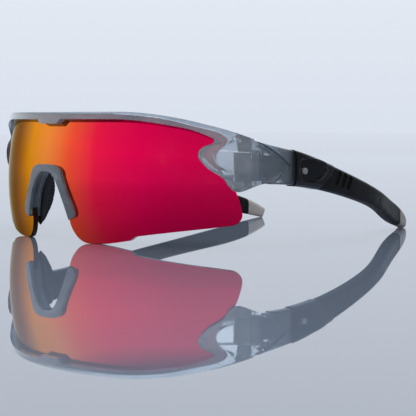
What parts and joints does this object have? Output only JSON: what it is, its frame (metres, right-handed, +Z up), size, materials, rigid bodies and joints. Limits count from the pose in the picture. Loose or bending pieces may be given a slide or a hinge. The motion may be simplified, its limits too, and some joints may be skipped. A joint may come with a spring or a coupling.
{
  "type": "wraparound sport sunglasses",
  "caption": "Wraparound sport sunglasses with a mirrored shield lens, a clear grey half frame, rubber nose pads and black folding arms with light grey tips.",
  "frame": {"origin": "middle of the bounding box, on the surface that the lens lobes and arm tips stand on", "axes": "+Z up, the lens faces -Y, the arms run back along +Y, +X is the wearer's left"},
  "size_m": [0.1438, 0.137, 0.0434],
  "materials": {
    "mirror_lens": "mirror-coated red polycarbonate",
    "clear_frame": "translucent grey crystal nylon",
    "clear_nose": "translucent grey nylon",
    "pad_rubber": "soft black rubber",
    "hinge_metal": "dark satin steel",
    "screw_metal": "satin steel",
    "clear_arm": "translucent grey nylon fading to black",
    "gloss_black": "gloss black",
    "stud_grey": "light grey",
    "sleeve_rubber": "matte black rubber",
    "wire_metal": "bright wire",
    "tip_grey": "matte light grey rubber"
  },
  "bodies": {
    "front": {"shield_lens": "mirror_lens", "brow_frame": "clear_frame", "nose_bridge": "clear_nose", "nose_pad_left": "pad_rubber", "nose_pad_right": "pad_rubber", "hinge_bracket_left": "hinge_metal", "hinge_bracket_right": "hinge_metal", "hinge_screw_left": "screw_metal", "hinge_screw_right": "screw_metal"},
    "arm_left": {"temple_arm_left": "clear_arm", "hinge_leaf_left": "hinge_metal"},
    "arm_right": {"temple_arm_right": "clear_arm", "hinge_leaf_right": "hinge_metal"},
    "sleeve_left": {"bezel_collar_left": "gloss_black", "lock_stud_left": "stud_grey", "temple_sleeve_left": "sleeve_rubber", "core_wire_left": "wire_metal", "temple_tip_left": "tip_grey"},
    "sleeve_right": {"bezel_collar_right": "gloss_black", "lock_stud_right": "stud_grey", "temple_sleeve_right": "sleeve_rubber", "core_wire_right": "wire_metal", "temple_tip_right": "tip_grey"}
  },
  "joints": [
    {"name": "left_arm_fold", "type": "hinge", "parent": "front", "child": "arm_left", "pos_m": [0.0662, -0.03236, 0.02591], "axis": [0, 0, 1], "range_deg": [0, 70]},
    {"name": "right_arm_fold", "type": "hinge", "parent": "front", "child": "arm_right", "pos_m": [-0.0662, -0.03236, 0.02591], "axis": [0, 0, -1], "range_deg": [0, 82]},
    {"name": "left_length_slide", "type": "slide", "parent": "arm_left", "child": "sleeve_left", "axis": [-0.1584, 0.9615, -0.2247], "range_m": [0, 0.008]},
    {"name": "right_length_slide", "type": "slide", "parent": "arm_right", "child": "sleeve_right", "axis": [0.1584, 0.9615, -0.2247], "range_m": [0, 0.008]}
  ]
}
